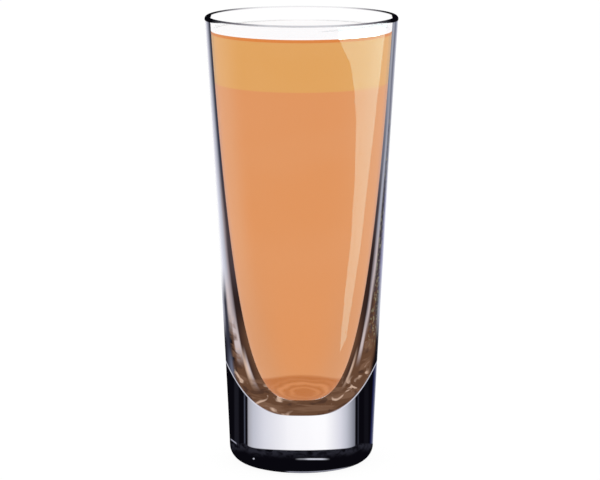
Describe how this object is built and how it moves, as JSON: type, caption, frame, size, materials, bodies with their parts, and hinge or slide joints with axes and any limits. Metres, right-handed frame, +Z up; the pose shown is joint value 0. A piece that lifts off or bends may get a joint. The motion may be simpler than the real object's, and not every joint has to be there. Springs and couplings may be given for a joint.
{
  "type": "whisky grog",
  "caption": "Whisky grog in a tall, heavy-bottomed clear glass tumbler: a deep peach-orange layer under a golden one, with a thin orange surface.",
  "frame": {"origin": "centre of the foot, on the surface that the glass stands on", "axes": "+Z up along the glass's axis; the glass is round, so X and Y are free"},
  "size_m": [0.0658, 0.0658, 0.155],
  "materials": {
    "clear_glass": "clear, polished, with a faint lavender tint where it is thick",
    "orange_drink": "cloudy peach-orange drink, deeper at the bottom of the bowl",
    "golden_drink": "cloudy golden drink",
    "surface_drink": "thin orange drink with a wet, glossy surface"
  },
  "bodies": {
    "root": {"glass": "clear_glass", "orange_layer": "orange_drink", "golden_layer": "golden_drink", "surface_layer": "surface_drink"}
  },
  "joints": []
}
